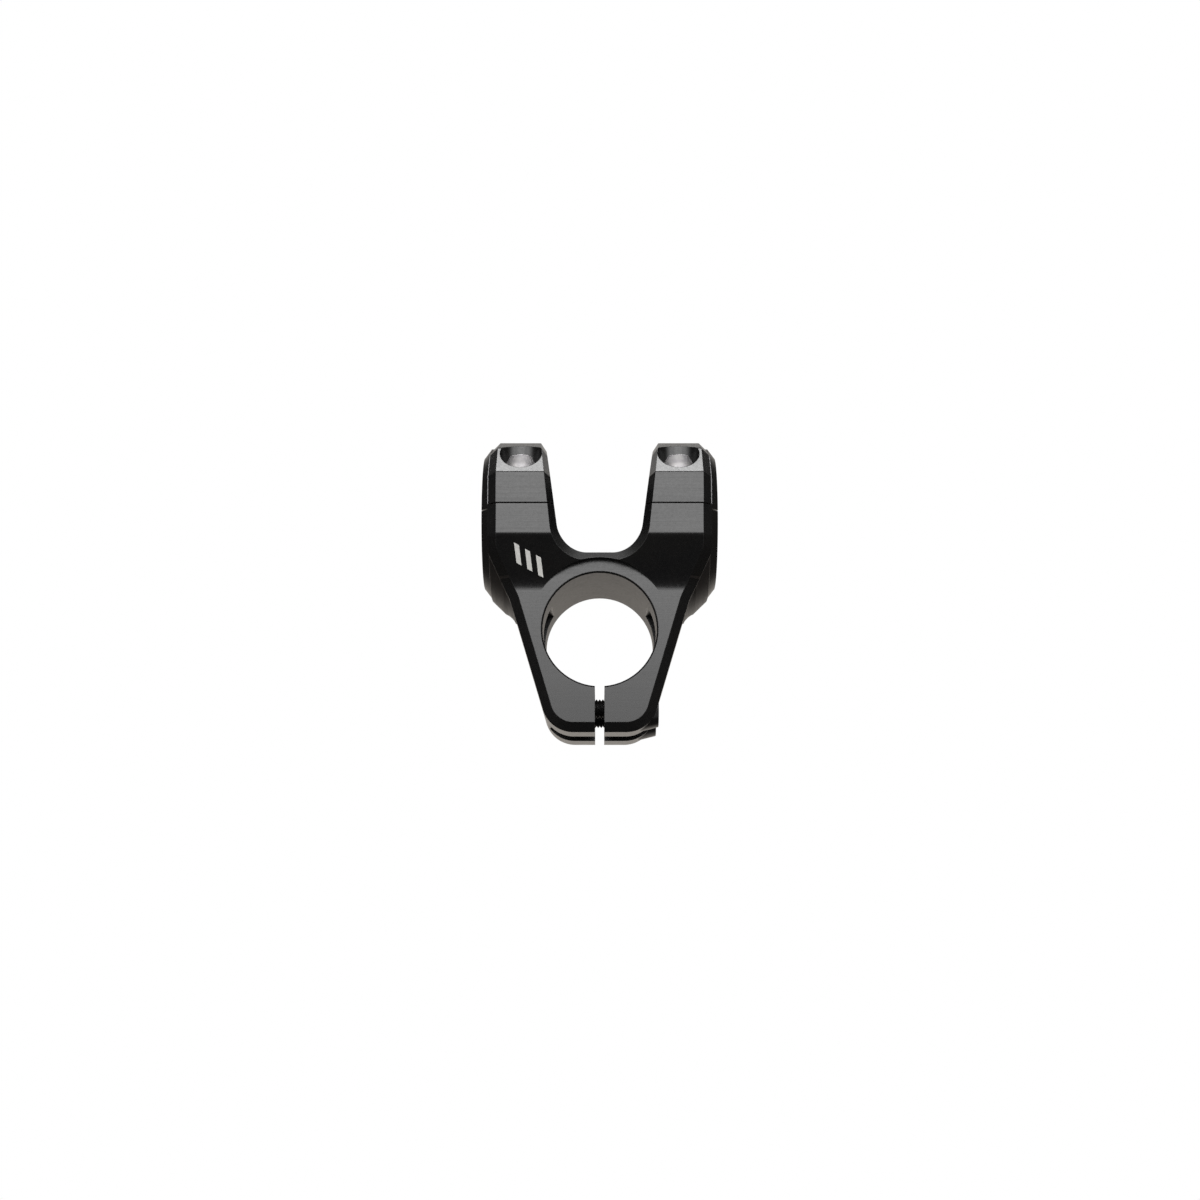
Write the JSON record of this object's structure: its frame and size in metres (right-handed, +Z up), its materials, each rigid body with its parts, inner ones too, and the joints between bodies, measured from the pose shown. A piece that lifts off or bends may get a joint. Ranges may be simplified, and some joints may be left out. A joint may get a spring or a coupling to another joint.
{
  "type": "handlebar stem",
  "caption": "Short bicycle handlebar stem: a slit steerer clamp with pinch bolts, and two forked arms that each grip the bar with a separate bolted faceplate.",
  "frame": {"origin": "centre of the bounding box, which lies in the left-right mid plane and in the top-bottom mid plane; the steerer axis is the line x = 0, y = -0.0132 and the bar axis is the line y = 0.0176, z = 0", "axes": "+Z up along the steerer, +Y forward from the steerer towards the handlebar, +X to the rider's right along the handlebar"},
  "size_m": [0.06, 0.0776, 0.0536],
  "materials": {
    "anodised_black": "satin black anodised, machined",
    "bolt_silver": "satin silver-grey metal",
    "bolt_black": "black oxide",
    "washer_black": "black oxide"
  },
  "bodies": {
    "body": {"stem_body": "anodised_black"},
    "faceplate_bolt_upper_left": {"faceplate_bolt_upper_left": "bolt_silver"},
    "faceplate_bolt_lower_left": {"faceplate_bolt_lower_left": "bolt_silver"},
    "faceplate_left": {"faceplate_left": "anodised_black", "faceplate_washer_upper_left": "washer_black", "faceplate_washer_lower_left": "washer_black"},
    "faceplate_bolt_upper_right": {"faceplate_bolt_upper_right": "bolt_silver"},
    "faceplate_bolt_lower_right": {"faceplate_bolt_lower_right": "bolt_silver"},
    "faceplate_right": {"faceplate_right": "anodised_black", "faceplate_washer_upper_right": "washer_black", "faceplate_washer_lower_right": "washer_black"},
    "pinch_washer_upper": {"pinch_washer_upper": "washer_black"},
    "pinch_bolt_upper": {"pinch_bolt_upper": "bolt_black"},
    "pinch_washer_lower": {"pinch_washer_lower": "washer_black"},
    "pinch_bolt_lower": {"pinch_bolt_lower": "bolt_black"}
  },
  "joints": [
    {"name": "faceplate_left_off", "type": "slide", "parent": "body", "child": "faceplate_left", "axis": [0, 1, 0], "range_m": [0, 0.008]},
    {"name": "faceplate_bolt_upper_left_turn", "type": "hinge", "parent": "faceplate_left", "child": "faceplate_bolt_upper_left", "pos_m": [-0.01995, 0.026, 0.0199], "axis": [0, 1, 0], "range_deg": [0, 3610]},
    {"name": "faceplate_bolt_lower_left_turn", "type": "hinge", "parent": "faceplate_left", "child": "faceplate_bolt_lower_left", "pos_m": [-0.01995, 0.026, -0.0199], "axis": [0, 1, 0], "range_deg": [0, 3610]},
    {"name": "faceplate_right_off", "type": "slide", "parent": "body", "child": "faceplate_right", "axis": [0, 1, 0], "range_m": [0, 0.008]},
    {"name": "faceplate_bolt_upper_right_turn", "type": "hinge", "parent": "faceplate_right", "child": "faceplate_bolt_upper_right", "pos_m": [0.01995, 0.026, 0.0199], "axis": [0, 1, 0], "range_deg": [0, 3610]},
    {"name": "faceplate_bolt_lower_right_turn", "type": "hinge", "parent": "faceplate_right", "child": "faceplate_bolt_lower_right", "pos_m": [0.01995, 0.026, -0.0199], "axis": [0, 1, 0], "range_deg": [0, 3610]},
    {"name": "pinch_bolt_upper_out", "type": "slide", "parent": "body", "child": "pinch_washer_upper", "axis": [1, 0, 0], "range_m": [0, 0.0064]},
    {"name": "pinch_bolt_upper_turn", "type": "hinge", "parent": "pinch_washer_upper", "child": "pinch_bolt_upper", "pos_m": [0.0096, -0.0324, 0.012], "axis": [1, 0, 0], "range_deg": [0, 2890]},
    {"name": "pinch_bolt_lower_out", "type": "slide", "parent": "body", "child": "pinch_washer_lower", "axis": [1, 0, 0], "range_m": [0, 0.0064]},
    {"name": "pinch_bolt_lower_turn", "type": "hinge", "parent": "pinch_washer_lower", "child": "pinch_bolt_lower", "pos_m": [0.0096, -0.0324, -0.012], "axis": [1, 0, 0], "range_deg": [0, 2890]}
  ],
  "couplings": [
    {"joint": "faceplate_bolt_upper_left_turn", "follows": "faceplate_left_off", "rad_per_m": 7854},
    {"joint": "faceplate_bolt_lower_left_turn", "follows": "faceplate_left_off", "rad_per_m": 7854},
    {"joint": "faceplate_bolt_upper_right_turn", "follows": "faceplate_right_off", "rad_per_m": 7854},
    {"joint": "faceplate_bolt_lower_right_turn", "follows": "faceplate_right_off", "rad_per_m": 7854},
    {"joint": "pinch_bolt_upper_turn", "follows": "pinch_bolt_upper_out", "rad_per_m": 7854},
    {"joint": "pinch_bolt_lower_turn", "follows": "pinch_bolt_lower_out", "rad_per_m": 7854}
  ]
}
